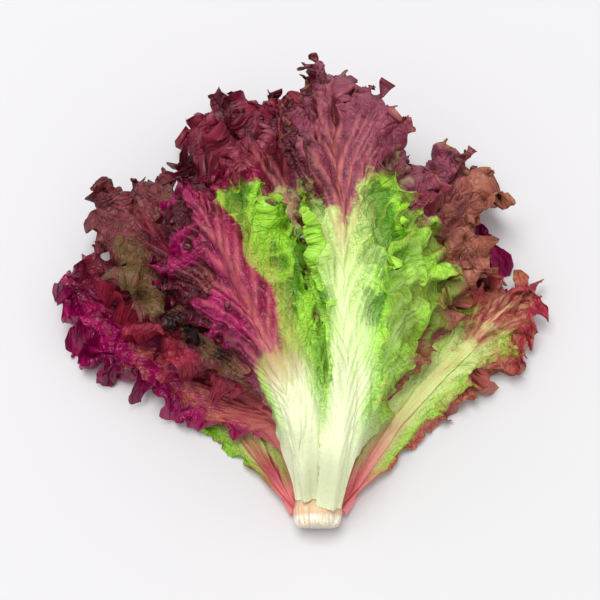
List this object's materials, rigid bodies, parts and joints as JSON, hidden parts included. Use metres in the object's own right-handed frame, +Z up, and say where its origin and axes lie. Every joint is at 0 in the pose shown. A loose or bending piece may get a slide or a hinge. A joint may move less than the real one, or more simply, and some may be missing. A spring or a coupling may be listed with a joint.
{
  "type": "head of red leaf lettuce",
  "caption": "Head of red leaf lettuce lying on its side, its ruffled green and crimson leaves fanning out from a cut stem.",
  "frame": {"origin": "middle of the bounding box, on the surface the head lies on", "axes": "+Z up, -Y towards the cut end of the stem, +Y towards the leaf tips, +X to the right of someone who looks from the cut end towards the tips"},
  "size_m": [0.3168, 0.303, 0.1258],
  "materials": {
    "stem_flesh": "moist cut flesh",
    "pale_leaf": "waxy",
    "green_leaf": "waxy",
    "bronze_leaf": "waxy",
    "magenta_leaf": "waxy",
    "dark_leaf": "waxy"
  },
  "bodies": {
    "root": {"stem": "stem_flesh", "leaf_right_back": "magenta_leaf", "leaf_under_middle": "bronze_leaf", "leaf_under_right": "dark_leaf", "leaf_low_left": "green_leaf", "leaf_low_right": "green_leaf", "leaf_left_low": "magenta_leaf", "leaf_under_left": "dark_leaf", "leaf_left_dark": "dark_leaf", "leaf_heart": "green_leaf", "leaf_back_left": "dark_leaf", "leaf_left_upper": "bronze_leaf", "leaf_right_upper": "bronze_leaf", "leaf_middle_green": "green_leaf", "leaf_right_inner": "green_leaf", "leaf_left_top": "magenta_leaf", "leaf_top": "pale_leaf"}
  },
  "joints": []
}
